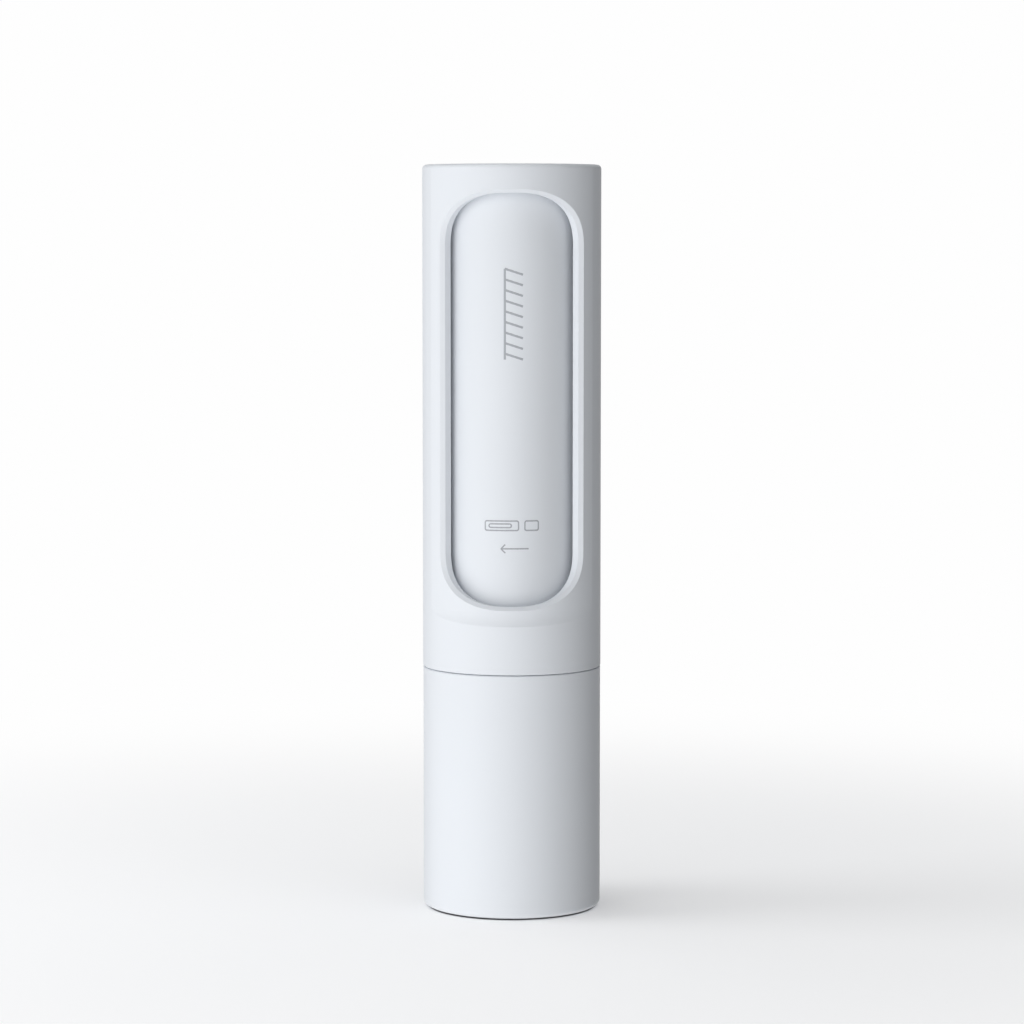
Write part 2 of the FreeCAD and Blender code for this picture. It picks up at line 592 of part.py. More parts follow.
def add_recess(body):
    """The shallow front recess: a ring cut about an axis set back from the case's own."""
    sketch = body.newObject("Sketcher::SketchObject", "recess_outline")
    sketch.AttachmentSupport = [(origin_plane(body, "YZ_Plane"), "")]
    sketch.MapMode = "FlatFace"
    set_back = FreeCAD.Vector(size["recess_shift"], 0, 0)
    sketch.AttachmentOffset = FreeCAD.Placement(set_back, FreeCAD.Rotation())
    depth, cove = size["recess_depth"], size["recess_cove"]
    wall = size["case_radius"] - depth + size["recess_shift"]
    foot, top = size["recess_foot"], size["overall_height"] + OVERRUN
    cove_top = foot + math.sqrt(2 * cove * depth - depth ** 2)
    sweep = math.acos((cove - depth) / cove)
    far = wall + 4 * depth + OVERRUN
    centre = FreeCAD.Vector(wall + cove, cove_top, 0)
    corners = ((wall, cove_top), (wall + depth, foot), (far, foot), (far, top), (wall, top))
    points = [FreeCAD.Vector(across, up, 0) for across, up in corners]
    arc = Part.ArcOfCircle(Part.Circle(centre, FreeCAD.Vector(0, 0, 1), cove), math.pi, math.pi + sweep)
    sketch.addGeometry(arc, False)
    for k in range(1, 5):
        sketch.addGeometry(Part.LineSegment(points[k], points[(k + 1) % 5]), False)
    ends = [(0, 2, 1, 1), (1, 2, 2, 1), (2, 2, 3, 1), (3, 2, 4, 1), (4, 2, 0, 1)]
    for first, first_end, second, second_end in ends:
        sketch.addConstraint(Sketcher.Constraint("Coincident", first, first_end, second, second_end))
    groove = body.newObject("PartDesign::Groove", "recess")
    groove.Profile = sketch
    groove.ReferenceAxis = (sketch, ["V_Axis"])
    groove.Angle = 360
    body.Tip = groove
    sketch.Visibility = False


def make_window_case():
    blank = turned("case_blank", [
        ("collar_bore", "case_bottom"), ("case_radius - seam_edge", "case_bottom"),
        ("case_radius", "case_bottom + seam_edge"), ("case_radius", "overall_height"),
        ("collar_bore", "overall_height"),
        ("collar_bore", "cap_seat"), ("case_bore", "cap_seat"), ("case_bore", "ledge_height"),
        ("collar_bore", "ledge_height")])
    add_recess(blank)
    rounded(blank, "case_top_round", "case_edge", size["overall_height"],
            size["collar_bore"] + 0.5 * size["case_edge"])
    ribs = [sector(f"case_rib_{k + 1}", "collar_bore + weld", "rib_inner", "rib_bottom",
                   "ledge_height + weld", middle, "rib_spread") for k, middle in enumerate((RIGHT, LEFT))]
    grooves = [sector(f"wiper_groove_{name}", "wiper_outer", "wiper_inner - 1", "wiper_bottom", "wiper_top",
                      FRONT + side * size["wiper_angle"], "wiper_spread")
               for name, side in (("right", 1), ("left", -1))]
    solid = fuse("case_solid", blank, *ribs)
    return keep(cut("window_case", solid, make_window_cutter(), make_bevel_cutter(), *grooves))


def make_top_cap():
    cap = turned("top_cap", [
        ("0", "bush_top"), ("bush_radius", "bush_top"), ("bush_radius", "cap_boss_bottom"),
        ("cap_boss_radius", "cap_boss_bottom"), ("cap_boss_radius", "cap_seat"), ("cap_radius", "cap_seat"),
        ("cap_radius", "overall_height - cap_sink - small_edge"),
        ("cap_radius - small_edge", "overall_height - cap_sink"),
        ("0", "overall_height - cap_sink")])
    return keep(cap)


def make_cap_bush():
    return keep(turned("cap_bush", [
        ("spindle_radius + running_gap", "cap_boss_bottom"), ("bush_radius", "cap_boss_bottom"),
        ("bush_radius", "bush_top"), ("spindle_radius + running_gap", "bush_top")]))


def make_wipers():
    for name, side in (("right", 1), ("left", -1)):
        keep(sector(f"wiper_{name}", "wiper_outer", "wiper_inner", "wiper_bottom", "wiper_top",
                    FRONT + side * size["wiper_angle"], "wiper_spread"))


make_foot_pad()
make_grip_sleeve()
make_base_cap()
make_socket_ring()
make_drum_frame()
make_blank_cover()
make_brush_plate()
make_brush_pad()
make_plate_screws()
make_drive_plug()
make_click_spring()
make_hub_screw()
make_spindle_pin()
rubber_ring("plug_seal", "plug_radius", "plug_seal_height")
make_swivel_collar()
rubber_ring("case_seal", "collar_radius", "case_seal_height")
make_slip_washer()
make_window_case()
make_top_cap()
make_cap_bush()
make_wipers()

doc.recompute()
for thing in doc.Objects:
    if "Invalid" in thing.State or "Error" in thing.State:
        raise RuntimeError(f"{thing.Label} failed: {thing.State}")
for node in parts:
    if node.Shape.isNull() or not node.Shape.isValid():
        raise RuntimeError(f"{node.Label} has no valid shape")

os.makedirs("parts", exist_ok=True)
for node in parts:
    node.Shape.exportStep(f"parts/{node.Label}.step")
    print(f"{node.Label:14s} {len(node.Shape.Solids)} solid(s), {node.Shape.Volume / 1000:7.2f} cm3")
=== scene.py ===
import math

import bmesh
import bpy
import numpy as np
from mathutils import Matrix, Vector


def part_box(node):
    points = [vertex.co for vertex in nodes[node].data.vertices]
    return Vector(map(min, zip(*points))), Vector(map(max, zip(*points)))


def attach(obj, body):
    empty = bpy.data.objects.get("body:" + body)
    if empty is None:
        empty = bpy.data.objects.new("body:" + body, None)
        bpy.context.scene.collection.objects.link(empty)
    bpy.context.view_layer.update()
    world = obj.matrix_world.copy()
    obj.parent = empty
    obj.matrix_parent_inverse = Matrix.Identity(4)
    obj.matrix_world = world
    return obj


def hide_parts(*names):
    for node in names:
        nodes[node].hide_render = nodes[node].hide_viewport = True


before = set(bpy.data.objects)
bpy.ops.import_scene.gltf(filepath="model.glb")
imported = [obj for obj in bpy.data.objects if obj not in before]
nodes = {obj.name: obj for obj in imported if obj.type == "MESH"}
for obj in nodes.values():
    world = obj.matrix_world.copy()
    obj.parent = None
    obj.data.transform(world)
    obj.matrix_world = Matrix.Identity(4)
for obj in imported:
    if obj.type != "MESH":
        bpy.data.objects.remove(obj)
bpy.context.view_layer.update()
print("frame:", len(nodes), "parts")

mm = 0.001
front = math.radians(-90)   # the window looks along -Y
back = math.radians(90)     # the brush pad looks along +Y


view = {
    "place": (0.00005, -0.778, 0.1536),
    "lookDown": 4.729,
    "lens": 121.95,
    "sensor": 36.0,
}

studio = {
    "floorRadius": 4.0,
    "floorTone": (0.945, 0.95, 0.96),
    "fadeFrom": 0.07,           # the floor turns into the plain backdrop between these distances
    "fadeTo": 0.34,
    "backdrop": (0.991, 0.991, 0.991),
    "sky": (0.5, 0.0, 0.05),    # light from straight below, from the sides and from above
    "key": {"azimuth": -27.5, "height": -0.24, "distance": 0.62, "size": (0.92, 1.9), "watts": 7.15},
    "left": {"azimuth": -98.0, "height": 0.0, "distance": 0.7, "size": (1.1, 1.6), "watts": 3.8},
    "fill": {"azimuth": 62.0, "height": 0.0, "distance": 0.7, "size": (1.1, 1.6), "watts": 1.2},
    "rear": {"azimuth": 178.0, "height": 0.12, "distance": 0.75, "size": (1.0, 1.3), "watts": 2.7},
    "top": {"azimuth": 0.0, "height": 1.0, "distance": 0.02, "size": (0.6, 0.6), "watts": 2.2,
            "aim": (0, 0, 0)},
    "floorDome": {"azimuth": 0.0, "height": 0.9, "distance": 0.05, "size": (2.2, 2.2), "watts": 18.2,
                  "aim": (0, 0, 0)},
    "floorSide": {"azimuth": -86.0, "height": 0.35, "distance": 0.5, "size": (0.3, 0.3), "watts": 0.8,
                  "aim": (0, 0, 0)},
    "contact": (17.2 * mm, 18.9 * mm),  # the touch of shade under the base's rounded foot
    "contactTone": (0.02, 0.02, 0.02),
    "floorSink": 0.02 * mm,     # the floor and the shade lie this far under the foot
    "contactSink": 0.01 * mm,
}


def addObject(name, data):
    made = bpy.data.objects.new(name, data)
    bpy.context.scene.collection.objects.link(made)
    return made


def makeCamera():
    data = bpy.data.cameras.new("studioCamera")
    data.lens = view["lens"]
    data.sensor_width = view["sensor"]
    data.clip_start = 0.01
    data.clip_end = 50.0
    camera = addObject("studioCamera", data)
    camera.location = view["place"]
    camera.rotation_euler = (math.radians(90 - view["lookDown"]), 0, 0)
    bpy.context.scene.camera = camera


class Wire:
    # One output of a node, with arithmetic
    def __init__(self, tree, socket):
        self.tree = tree
        self.socket = socket

    def maths(self, operation, first, second):
        step = self.tree.nodes.new("ShaderNodeMath")
        step.operation = operation
        for place, value in enumerate((first, second)):
            if isinstance(value, Wire):
                self.tree.links.new(value.socket, step.inputs[place])
            else:
                step.inputs[place].default_value = value
        return Wire(self.tree, step.outputs[0])

    def __add__(self, other):
        return self.maths("ADD", self, other)

    def __radd__(self, other):
        return self.maths("ADD", other, self)

    def __sub__(self, other):
        return self.maths("SUBTRACT", self, other)

    def __rsub__(self, other):
        return self.maths("SUBTRACT", other, self)

    def __mul__(self, other):
        return self.maths("MULTIPLY", self, other)

    def __rmul__(self, other):
        return self.maths("MULTIPLY", other, self)


class Finish:
    # A node tree with its surface shader, and the few calls that build on it
    def __init__(self, name, owner=None):
        self.owner = owner or bpy.data.materials.new(name)
        self.owner.use_nodes = True
        self.tree = self.owner.node_tree
        self.shader = self.tree.nodes.get("Principled BSDF")

    def add(self, kind, settings=None, inputs=None, output=0):
        node = self.tree.nodes.new(kind)
        for name, value in (settings or {}).items():
            if name == "stops":
                stops = node.color_ramp.elements
                for place, (at, tone) in enumerate(value):
                    stop = stops[place] if place < 2 else stops.new(at)
                    stop.position = at
                    stop.color = (tone, tone, tone, 1)
            else:
                setattr(node, name, value)
        for name, value in (inputs or {}).items():
            if isinstance(value, Wire):
                self.tree.links.new(value.socket, node.inputs[name])
            else:
                node.inputs[name].default_value = value
        return Wire(self.tree, node.outputs[output])

    def blend(self, factor, first, second):
        first, second = [(*c, 1) if isinstance(c, tuple) else c for c in (first, second)]
        return self.add("ShaderNodeMix", {"data_type": "RGBA"}, {0: factor, 6: first, 7: second}, 2)

    def place(self, stretch=(1, 1, 1)):
        spot = self.add("ShaderNodeTexCoord", output="Object")
        return self.add("ShaderNodeMapping", None, {"Vector": spot, "Scale": stretch})

    def noise(self, size, detail=2.0, stretch=(1, 1, 1), rough=0.5):
        # size is the width of one blotch in metres
        spot = self.place(stretch)
        return self.add("ShaderNodeTexNoise", None,
                        {"Vector": spot, "Scale": 1 / size, "Detail": detail, "Roughness": rough})

    def ramp(self, value, *stops):
        return self.add("ShaderNodeValToRGB", {"stops": stops}, {"Fac": value})

    def bump(self, height, depth, strength=1.0, after=None):
        inputs = {"Height": height, "Distance": depth, "Strength": strength}
        if after:
            inputs["Normal"] = after
        return self.add("ShaderNodeBump", None, inputs)

    def fixed(self, **values):
        for name, value in values.items():
            self.shader.inputs[name.replace("_", " ")].default_value = value

    def feed(self, **wires):
        for name, wire in wires.items():
            self.tree.links.new(wire.socket, self.shader.inputs[name.replace("_", " ")])


def softbox(name, spec, only):
    # An area lamp that lights just the objects of one collection, or all but those excluded from it
    data = bpy.data.lights.new(name, "AREA")
    data.shape = "RECTANGLE"
    data.size, data.size_y = spec["size"]
    data.energy = spec["watts"]
    lamp = addObject(name, data)
    turn = math.radians(spec["azimuth"])
    lamp.location = (spec["distance"] * math.sin(turn), -spec["distance"] * math.cos(turn), spec["height"])
    aim = Vector(spec.get("aim", (0, 0, spec["height"]))) - lamp.location
    lamp.rotation_euler = aim.to_track_quat("-Z", "Y").to_euler()
    lamp.visible_camera = False
    lamp.light_linking.receiver_collection = only


def makeFloor():
    # Pale paper that fades into the backdrop, and can be seen through from below
    mesh = bpy.data.meshes.new("floor")
    bm = bmesh.new()
    bmesh.ops.create_circle(bm, cap_ends=True, segments=96, radius=studio["floorRadius"])
    bm.to_mesh(mesh)
    bm.free()
    floor = addObject("floor", mesh)
    floor.location.z = -studio["floorSink"]
    for way in ("diffuse", "glossy", "transmission", "shadow"):
        setattr(floor, "visible_" + way, False)
    paper = Finish("floorPaper")
    spot = paper.add("ShaderNodeTexCoord", output="Object")
    away = paper.add("ShaderNodeVectorMath", {"operation": "LENGTH"}, {0: spot}, "Value")
    far = paper.add("ShaderNodeMapRange", {"interpolation_type": "SMOOTHERSTEP"},
                    {"Value": away, "From Min": studio["fadeFrom"], "From Max": studio["fadeTo"]})
    near = paper.add("ShaderNodeBsdfDiffuse", None, {"Color": (*studio["floorTone"], 1)})
    plain = paper.add("ShaderNodeEmission", None, {"Color": (*studio["backdrop"], 1)})
    shown = paper.add("ShaderNodeMixShader", None, {0: far, 1: near, 2: plain})
    under = paper.add("ShaderNodeNewGeometry", output="Backfacing")
    clear = paper.add("ShaderNodeBsdfTransparent")
    final = paper.add("ShaderNodeMixShader", None, {0: under, 1: shown, 2: clear})
    paper.tree.links.new(final.socket, paper.tree.nodes["Material Output"].inputs["Surface"])
    mesh.materials.append(paper.owner)
    return floor


def makeContactShade():
    # An unseen dark ring on the floor, which keeps light out of the crack under the foot
    ring = bpy.data.meshes.new("contactShade")
    bm = bmesh.new()
    for reach in studio["contact"]:
        bmesh.ops.create_circle(bm, segments=64, radius=reach)
    bmesh.ops.bridge_loops(bm, edges=bm.edges)
    bm.to_mesh(ring)
    bm.free()
    shade = addObject("contactShade", ring)
    shade.location.z = -studio["contactSink"]
    shade.visible_camera = False
    dark = Finish("contactDark")
    dark.fixed(Base_Color=(*studio["contactTone"], 1), Roughness=1.0)
    ring.materials.append(dark.owner)


def makeSky():
    # White to the camera, and a soft glow from below and above to everything else
    world = bpy.data.worlds.new("studioSky")
    bpy.context.scene.world = world
    sky = Finish("studioSky", world)
    height = sky.add("ShaderNodeSeparateXYZ", None,
                     {"Vector": sky.add("ShaderNodeTexCoord", output="Generated")}, "Z")
    below, beside, above = studio["sky"]
    lift = sky.ramp(height * 0.5 + 0.5, (0.05, below), (0.5, beside), (0.95, above))
    dim = sky.add("ShaderNodeBackground", None, {"Color": lift})
    bright = sky.add("ShaderNodeBackground", None, {"Color": (*studio["backdrop"], 1)})
    seen = sky.add("ShaderNodeLightPath", output="Is Camera Ray")
    both = sky.add("ShaderNodeMixShader", None, {0: seen, 1: dim, 2: bright})
    sky.tree.links.new(both.socket, sky.tree.nodes["World Output"].inputs["Surface"])


def placeLights(floor):
    floorOnly = bpy.data.collections.new("floorOnly")
    floorOnly.objects.link(floor)
    notFloor = bpy.data.collections.new("notFloor")
    notFloor.objects.link(floor)
    notFloor.collection_objects[0].light_linking.link_state = "EXCLUDE"
    softbox("keySoftbox", studio["key"], notFloor)
    for name in ("left", "fill", "rear", "top"):
        softbox(name + "Softbox", studio[name], notFloor)
    for name in ("floorDome", "floorSide"):
        softbox(name, studio[name], floorOnly)
    bpy.context.scene.view_settings.view_transform = "Standard"


makeCamera()
floor = makeFloor()
makeContactShade()
makeSky()
placeLights(floor)
print("studio: camera, floor and lights")


white = (0.825, 0.859, 0.906)   # the cool white of the outer shells


def shaded(tone, share):
    return tuple(min(1.0, c * share) for c in tone)


def mouldedPlastic(name, tone, rough=0.5, grain=0.12 * mm, depth=0.004 * mm, drift=0.02):
    # Spark-eroded moulding: a fine even grain, with the faint flow and shrink marks of a thin shell
    finish = Finish(name)
    flow = finish.noise(14 * mm, 3.0, (1, 1, 0.35))
    speck = finish.noise(grain, 1.0)
    shade = flow * 0.7 + speck * 0.3
    finish.feed(Base_Color=finish.blend(shade, shaded(tone, 1 - drift), shaded(tone, 1 + drift)),
                Roughness=flow * 0.08 + speck * 0.05 + (rough - 0.065))
    wave = finish.bump(flow, 0.02 * mm, 0.5)
    finish.feed(Normal=finish.bump(speck, depth, 0.6, wave))
    finish.fixed(Specular_IOR_Level=0.45)
    return finish.owner


def slickPlastic(name, tone, rough=0.34):
    # Acetal or nylon turned parts: smoother, with fine rings from the tool round the axis
    finish = Finish(name)
    cloud = finish.noise(5 * mm, 2.0)
    rings = finish.noise(0.16 * mm, 1.0, (0.02, 0.02, 1))
    finish.feed(Base_Color=finish.blend(cloud, shaded(tone, 0.95), tone),
                Roughness=cloud * 0.1 + rings * 0.06 + (rough - 0.08),
                Normal=finish.bump(rings, 0.003 * mm, 0.5))
    return finish.owner


def softRubber(name, tone, rough=0.72, grain=0.25 * mm):
    # Moulded elastomer, dull and faintly mottled
    finish = Finish(name)
    cloud = finish.noise(3 * mm, 3.0)
    speck = finish.noise(grain, 2.0)
    finish.feed(Base_Color=finish.blend(cloud * 0.6 + speck * 0.4, shaded(tone, 0.8), shaded(tone, 1.15)),
                Roughness=speck * 0.16 + (rough - 0.08),
                Normal=finish.bump(speck, 0.012 * mm, 0.6))
    return finish.owner


def brightSteel(name, tone, rough=0.3, along=(1, 1, 0.05)):
    # Drawn or turned steel, with its scratches running one way
    finish = Finish(name)
    brushed = finish.noise(0.09 * mm, 2.0, along)
    cloud = finish.noise(1.5 * mm, 2.0)
    finish.feed(Base_Color=finish.blend(brushed * 0.6 + cloud * 0.4, shaded(tone, 0.82), tone),
                Roughness=brushed * 0.16 + cloud * 0.08 + (rough - 0.12),
                Normal=finish.bump(brushed, 0.003 * mm, 0.6))
    finish.fixed(Metallic=1.0)
    return finish.owner


finishes = {
    "grip_shell": mouldedPlastic("gripShell", white),
    "case_shell": mouldedPlastic("caseShell", white),
    "cap_shell": mouldedPlastic("capShell", white),
    "cover_shell": mouldedPlastic("coverShell", white, 0.46),
    "base_shell": mouldedPlastic("baseShell", (0.78, 0.815, 0.853), 0.55),
    "socket_plastic": mouldedPlastic("socketPlastic", (0.74, 0.77, 0.802), 0.5),
    "frame_plastic": mouldedPlastic("framePlastic", (0.76, 0.79, 0.82), 0.5),
    "plate_plastic": mouldedPlastic("platePlastic", (0.74, 0.768, 0.798), 0.52),
    "plug_plastic": slickPlastic("plugPlastic", (0.66, 0.67, 0.70)),
    "collar_plastic": slickPlastic("collarPlastic", (0.58, 0.59, 0.62)),
    "washer_plastic": slickPlastic("washerPlastic", (0.84, 0.82, 0.74), 0.28),
    "bush_plastic": slickPlastic("bushPlastic", (0.84, 0.82, 0.74), 0.28),
    "foot_rubber": softRubber("footRubber", (0.16, 0.165, 0.175)),
    "seal_rubber": softRubber("sealRubber", (0.018, 0.018, 0.02), 0.5, 0.15 * mm),
    "screw_steel": brightSteel("screwSteel", (0.70, 0.70, 0.71), 0.3, (1, 1, 0.5)),
    "pin_steel": brightSteel("pinSteel", (0.72, 0.72, 0.73), 0.22, (0.05, 0.05, 1)),
    "spring_steel": brightSteel("springSteel", (0.62, 0.62, 0.64), 0.3),
}


def dressNodes():
    # Every part takes the finish that its slot is named for
    for node in nodes.values():
        for held in node.material_slots:
            name = held.material.name if held.material else ""
            if name in finishes:
                held.material = finishes[name]


dressNodes()
print("finishes:", len(finishes))


def wrapRound(mesh, radius, facing, middle, side=1):
    # A flat mesh with x to the right, y up and z outwards goes round the axis; side -1 faces it inwards
    spots = np.empty(len(mesh.vertices) * 3)
    mesh.vertices.foreach_get("co", spots)
    spots = spots.reshape(-1, 3)
    angle = facing + side * spots[:, 0] / radius
    reach = radius + side * spots[:, 2]
    placed = np.stack([reach * np.cos(angle), reach * np.sin(angle), middle + spots[:, 1]], 1)
    mesh.vertices.foreach_set("co", placed.ravel())
    mesh.update()


def frozen(piece):
    # The mesh with its modifiers or bevel applied, in place of the piece
    shape = bpy.data.meshes.new_from_object(piece.evaluated_get(bpy.context.evaluated_depsgraph_get()))
    data = piece.data
    bpy.data.objects.remove(piece)
    if isinstance(data, bpy.types.Mesh):
        bpy.data.meshes.remove(data)
    return shape


def nap(name, spec, radius, facing, middle, side=1):
    # Rows of small leaning tufts, made flat, varied one by one, and then wrapped
    across, along = spec["pitch"]
    length, jitter, bend = spec["length"], spec["jitter"], spec["bend"]
    bm = bmesh.new()
    bmesh.ops.create_cone(bm, cap_ends=False, segments=3, radius1=spec["root"], radius2=spec["tip"],
                          depth=length)
    bmesh.ops.translate(bm, verts=bm.verts, vec=(0, 0, length / 2))
    uprights = [e for e in bm.edges if abs(e.verts[0].co.z - e.verts[1].co.z) > length / 2]
    bmesh.ops.subdivide_edges(bm, edges=uprights, cuts=1)
    mesh = bpy.data.meshes.new(name)
    bm.to_mesh(mesh)
    bm.free()
    points = len(mesh.vertices)
    piece = addObject(name, mesh)
    columns = round(spec["width"] / across)
    rows = round(spec["height"] / along)
    for label, count, step in (("columns", columns, (across, 0, 0)), ("rows", rows, (0, along, 0))):
        array = piece.modifiers.new(label, "ARRAY")
        array.count = count
        array.use_relative_offset = False
        array.use_constant_offset = True
        array.constant_offset_displace = step
    mesh = frozen(piece)
    spots = np.empty(len(mesh.vertices) * 3)
    mesh.vertices.foreach_get("co", spots)
    spots = spots.reshape(rows, columns, points, 3)
    draw = np.random.default_rng(spec["seed"])
    spots[..., 0] -= (columns - 1) * across / 2
    spots[..., 1] -= (rows - 1) * along / 2
    spots[1::2, :, :, 0] += across / 2      # every other row stands in the gaps of the last
    each = (rows, columns, 1)
    spots[..., 0] += draw.uniform(-jitter, jitter, each) * across
    spots[..., 1] += draw.uniform(-jitter, jitter, each) * along
    spots[..., 2] *= draw.uniform(1 - spec["uneven"], 1.0, each)
    rise = spots[..., 2] / length
    lean = np.tan(np.radians(spec["lean"])) * length
    wander = spec["wander"] * length
    spots[..., 0] += rise ** bend * (lean + draw.normal(0, wander, each))
    spots[..., 1] += rise ** bend * draw.normal(0, wander, each)
    mesh.vertices.foreach_set("co", spots.ravel())
    tone = mesh.attributes.new("tuftTone", "FLOAT", "POINT")
    tones = np.broadcast_to(draw.random(each), rise.shape)
    tone.data.foreach_set("value", tones.astype(np.float32).ravel())
    height = mesh.attributes.new("tuftRise", "FLOAT", "POINT")
    height.data.foreach_set("value", rise.astype(np.float32).ravel())
    mesh.update()
    wrapRound(mesh, radius, facing, middle, side)
    made = addObject(name, mesh)
    mesh.polygons.foreach_set("use_smooth", [True] * len(mesh.polygons))
    return made


def pileFinish(name, root, tipTone, spread):
    # Each tuft has its own tone, darkened towards the root as painted shade down in the pile, and brighter
    # and sheeny at the tip
    finish = Finish(name)
    tone = finish.add("ShaderNodeAttribute", {"attribute_name": "tuftTone"}, None, "Fac")
    rise = finish.add("ShaderNodeAttribute", {"attribute_name": "tuftRise"}, None, "Fac")
    patch = finish.noise(6 * mm, 2.0)
    # rise carries the painted shade, darker at the root; tone and patch vary at random
    shade = rise * 0.75 + (tone - 0.5) * spread + (patch - 0.5) * 0.25
    finish.feed(Base_Color=finish.blend(finish.ramp(shade, (0.0, 0.0), (1.0, 1.0)), root, tipTone),
                Roughness=0.62 - rise * 0.14)
    finish.fixed(Sheen_Weight=0.35, Sheen_Roughness=0.4, Specular_IOR_Level=0.3)
    return finish.owner


def clothFinish(name, tone):
    # Plain-woven backing: two sets of threads crossing
    finish = Finish(name)
    thread = {"Vector": finish.place(), "Scale": 900.0, "Distortion": 0.6, "Detail": 1.0}
    warp = finish.add("ShaderNodeTexWave", {"wave_type": "BANDS", "bands_direction": "Z"}, thread)
    weft = finish.add("ShaderNodeTexWave", {"wave_type": "BANDS", "bands_direction": "X"}, thread)
    weave = warp * 0.5 + weft * 0.5
    finish.feed(Base_Color=finish.blend(weave, shaded(tone, 0.6), tone), Roughness=0.95 - weave * 0.1,
                Normal=finish.bump(weave, 0.06 * mm, 0.6))
    finish.fixed(Sheen_Weight=0.2)
    return finish.owner


pad = {
    "cloth": 0.35 * mm,                 # thickness of the woven backing
    "sunk": 0.8,                        # the tufts' roots start at this share of it
    "squares": (40, 24),                # of the cloth, across and along
    "margin": (0.9 * mm, 0.5 * mm),     # bare cloth left round the pile, across and along
    "toneSpread": 0.5,
    "clothTone": (0.16, 0.02, 0.025),
    # the roots' tone is painted shade in the pile; the tips' tone is the fibre's own
    "rootShadeTone": (0.10, 0.008, 0.012),
    "tipTone": (0.42, 0.035, 0.045),
    "nap": {"root": 0.2 * mm, "tip": 0.05 * mm, "length": 1.5 * mm, "pitch": (0.42 * mm, 0.45 * mm),
            "lean": 28.0, "wander": 0.13, "uneven": 0.14, "jitter": 0.3, "bend": 1.5, "seed": 7},
}


def makeBrushPad():
    low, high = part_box("brush_pad")
    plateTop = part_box("brush_plate")[1].y
    spread = math.asin(high.x / high.y)
    middle = (low.z + high.z) / 2
    height = high.z - low.z
    width = 2 * spread * plateTop
    bm = bmesh.new()
    columns, rows = pad["squares"]
    bmesh.ops.create_grid(bm, x_segments=columns, y_segments=rows, size=0.5)
    bmesh.ops.scale(bm, vec=(width, height, 1), verts=bm.verts)
    mesh = bpy.data.meshes.new("padCloth")
    bm.to_mesh(mesh)
    bm.free()
    wrapRound(mesh, plateTop, back, middle)
    bm = bmesh.new()
    bm.from_mesh(mesh)
    bmesh.ops.recalc_face_normals(bm, faces=bm.faces)
    if bm.faces[0].normal.y < 0:
        bmesh.ops.reverse_faces(bm, faces=bm.faces)
    bmesh.ops.solidify(bm, geom=bm.faces[:], thickness=-pad["cloth"])
    bmesh.ops.recalc_face_normals(bm, faces=bm.faces)
    bm.to_mesh(mesh)
    bm.free()
    cloth = addObject("padCloth", mesh)
    mesh.materials.append(clothFinish("padClothWeave", pad["clothTone"]))
    spec = dict(pad["nap"])
    spec["width"] = width - pad["margin"][0]
    spec["height"] = height - pad["margin"][1]
    pile = nap("padPile", spec, plateTop + pad["cloth"] * pad["sunk"], back, middle)
    fibre = pileFinish("padPileFibre", pad["rootShadeTone"], pad["tipTone"], pad["toneSpread"])
    pile.data.materials.append(fibre)
    for piece in (cloth, pile):
        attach(piece, "drum")
    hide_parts("brush_pad")
    print("brush pad:", len(pile.data.polygons), "tuft faces")


makeBrushPad()


wiper = {
    "turn": 57.6,               # from the middle of the window to the middle of a strip, in degrees
    "halfSpread": 3.8,
    "floor": 18.35 * mm,
    "body": 0.82 * mm,
    "edge": 0.22 * mm,
    "slack": 0.1 * mm,          # the strip stops short of its groove's ends
    "snug": 0.98,               # its share of the groove's width
    "cuts": (5, 70),            # across and along, so that it bends round the case
    "margin": (0.3 * mm, 0.4 * mm),
    "toneSpread": 0.4,
    "tone": (0.50, 0.51, 0.54),
    "nap": {"root": 0.05 * mm, "tip": 0.02 * mm, "length": 0.34 * mm, "pitch": (0.16 * mm, 0.22 * mm),
            "lean": 10.0, "wander": 0.5, "uneven": 0.5, "jitter": 0.3, "bend": 1.5, "seed": 11},
}


def feltFinish(name, tone):
    # Pressed felt: a tangle of short fibres
    finish = Finish(name)
    tangle = finish.noise(0.22 * mm, 4.0, (1, 1, 0.5), 0.65)
    cloud = finish.noise(2.5 * mm, 2.0)
    mixed = tangle * 0.65 + cloud * 0.35
    finish.feed(Base_Color=finish.blend(mixed, shaded(tone, 0.72), shaded(tone, 1.18)),
                Roughness=0.98 - tangle * 0.12, Normal=finish.bump(tangle, 0.08 * mm, 0.7))
    finish.fixed(Sheen_Weight=0.3, Sheen_Roughness=0.5)
    return finish.owner


